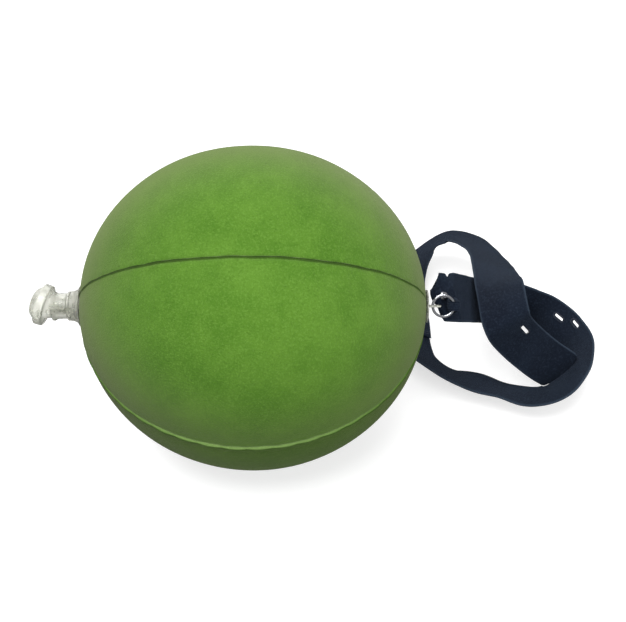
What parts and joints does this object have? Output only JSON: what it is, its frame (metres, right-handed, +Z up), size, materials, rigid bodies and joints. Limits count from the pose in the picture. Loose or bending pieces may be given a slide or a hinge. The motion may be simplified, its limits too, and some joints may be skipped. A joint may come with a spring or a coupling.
{
  "type": "inflatable swing-training ball on a neck strap",
  "caption": "Flocked inflatable ball of welded gores, with a push-in valve at one pole and a slotted fabric neck strap on a split ring at the other.",
  "frame": {"origin": "outer end of the anchor tab, on the ball's pole axis; the ball's centre is at x = -0.0915 m", "axes": "+X along the pole axis from the valve to the strap, +Z up"},
  "size_m": [0.2931, 0.2266, 0.157],
  "materials": {
    "flock": "short velvety flock on welded sheet, mottled, with a soft sheen at the rim",
    "clear_pvc": "soft clear plastic, slightly grey, satin gloss",
    "chrome": "polished plating",
    "strap_fabric": "matt blue-black knitted elastic webbing"
  },
  "bodies": {
    "ball": {"gore_1": "flock", "gore_2": "flock", "gore_3": "flock", "gore_4": "flock", "gore_5": "flock", "valve_end_disc": "flock", "strap_end_disc": "flock", "valve_flange": "clear_pvc", "valve_web": "clear_pvc", "anchor_tab": "clear_pvc"},
    "valve": {"valve_stem": "clear_pvc", "plug_tether": "clear_pvc"},
    "flap": {"check_flap": "clear_pvc"},
    "plug": {"valve_plug": "clear_pvc"},
    "ring": {"split_ring": "chrome"},
    "strap": {"ring_loop": "strap_fabric", "strap_ring_length": "strap_fabric", "strap_free_length": "strap_fabric", "stud_post": "chrome", "stud_cap": "chrome"}
  },
  "joints": [
    {"name": "valve_push", "type": "slide", "parent": "ball", "child": "valve", "axis": [1, 0, 0], "range_m": [0, 0.0095], "deforming": ["valve_web"]},
    {"name": "plug_pull", "type": "slide", "parent": "valve", "child": "plug", "axis": [-1, 0, 0], "range_m": [0, 0.014], "deforming": ["plug_tether"]},
    {"name": "check_flap_swing", "type": "hinge", "parent": "valve", "child": "flap", "pos_m": [-0.1692, 0, 0.0064], "axis": [0, -1, 0], "range_deg": [0, 60]},
    {"name": "ring_swing", "type": "hinge", "parent": "ball", "child": "ring", "pos_m": [-0.0039, 0, 0], "axis": [0, -0.5878, -0.809], "range_deg": [-10, 50]},
    {"name": "strap_swing", "type": "hinge", "parent": "ring", "child": "strap", "pos_m": [0.0065, 0, 0], "axis": [0, -0.5878, -0.809], "range_deg": [0, 90]}
  ]
}
